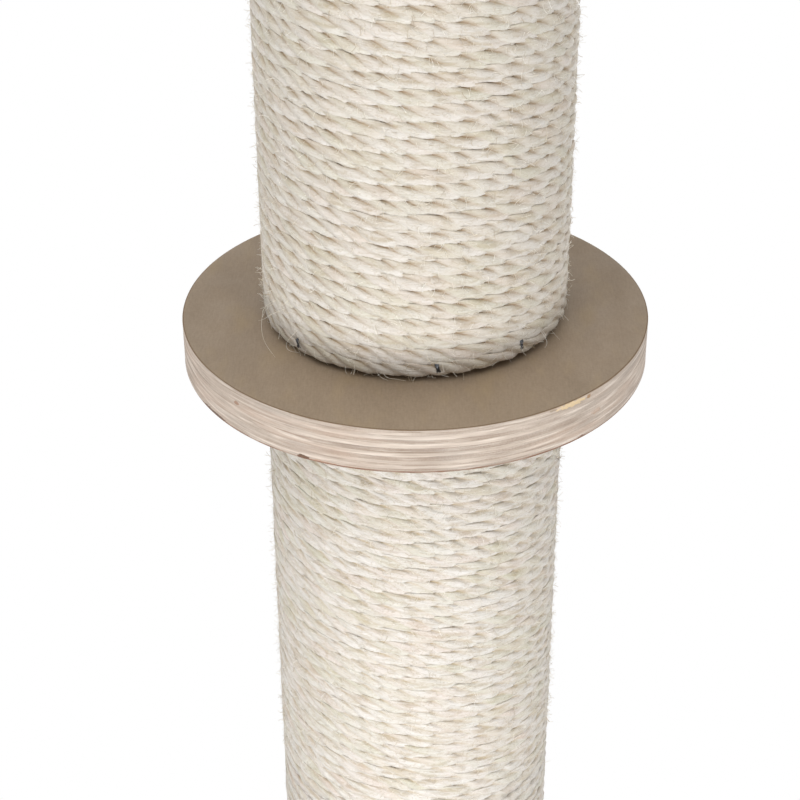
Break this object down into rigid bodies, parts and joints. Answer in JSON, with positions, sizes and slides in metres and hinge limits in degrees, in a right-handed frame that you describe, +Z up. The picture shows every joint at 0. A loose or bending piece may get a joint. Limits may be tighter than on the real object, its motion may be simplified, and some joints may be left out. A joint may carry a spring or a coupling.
{
  "type": "floor-to-ceiling cat tree",
  "caption": "Tall scratching post wound with sisal rope, with round plywood boards clamped between its sections and a screw jack that presses a round plate to the ceiling.",
  "frame": {"origin": "on the floor, on the post's axis", "axes": "+Z up along the post, +X to the right and +Y away from the viewer in the picture"},
  "size_m": [0.6, 0.6, 2.442],
  "materials": {
    "sisal_rope": "pale natural three-strand sisal rope, slightly hairy",
    "film_plywood": "plywood with a matte taupe film on its faces and a bare layered edge",
    "plug_plywood": "raw sawn plywood",
    "tube_card": "spirally wound brown card",
    "zinc_steel": "bright zinc-plated steel",
    "staple_wire": "dark lacquered wire",
    "pad_rubber": "matte black rubber"
  },
  "bodies": {
    "post": {"floor_pads": "pad_rubber", "base_plate": "film_plywood", "collar_disc": "film_plywood", "lower_perch": "film_plywood", "upper_perch": "film_plywood", "top_disc": "film_plywood", "base_bolt": "zinc_steel", "base_washer": "zinc_steel", "base_screws": "zinc_steel", "tee_nuts": "zinc_steel", "joining_studs": "zinc_steel", "plug_screws": "zinc_steel", "top_disc_screws": "zinc_steel", "guide_sleeve": "zinc_steel", "thrust_washer": "zinc_steel", "staples": "staple_wire", "lower_core_tube": "tube_card", "lower_bottom_plug": "plug_plywood", "lower_top_plug": "plug_plywood", "lower_rope_turns": "sisal_rope", "lower_rope_sleeve": "sisal_rope", "middle_core_tube": "tube_card", "middle_bottom_plug": "plug_plywood", "middle_top_plug": "plug_plywood", "middle_rope_turns": "sisal_rope", "middle_rope_sleeve": "sisal_rope", "upper_core_tube": "tube_card", "upper_bottom_plug": "plug_plywood", "upper_top_plug": "plug_plywood", "upper_rope_turns": "sisal_rope", "upper_rope_sleeve": "sisal_rope", "top_core_tube": "tube_card", "top_bottom_plug": "plug_plywood", "top_top_plug": "plug_plywood", "top_rope_turns": "sisal_rope", "top_rope_sleeve": "sisal_rope"},
    "nut": {"adjusting_nut": "zinc_steel"},
    "jack": {"spindle": "zinc_steel", "spindle_flange": "zinc_steel", "ceiling_screws": "zinc_steel", "ceiling_plate": "film_plywood", "ceiling_pad": "pad_rubber"}
  },
  "joints": [
    {"name": "nut_turn", "type": "hinge", "parent": "post", "child": "nut", "pos_m": [0, 0, 2.362], "axis": [0, 0, 1], "range_deg": [-5400, 2700]},
    {"name": "jack_slide", "type": "slide", "parent": "post", "child": "jack", "axis": [0, 0, 1], "range_m": [-0.03, 0.06]}
  ],
  "couplings": [
    {"joint": "nut_turn", "follows": "jack_slide", "rad_per_m": -1570.8}
  ]
}
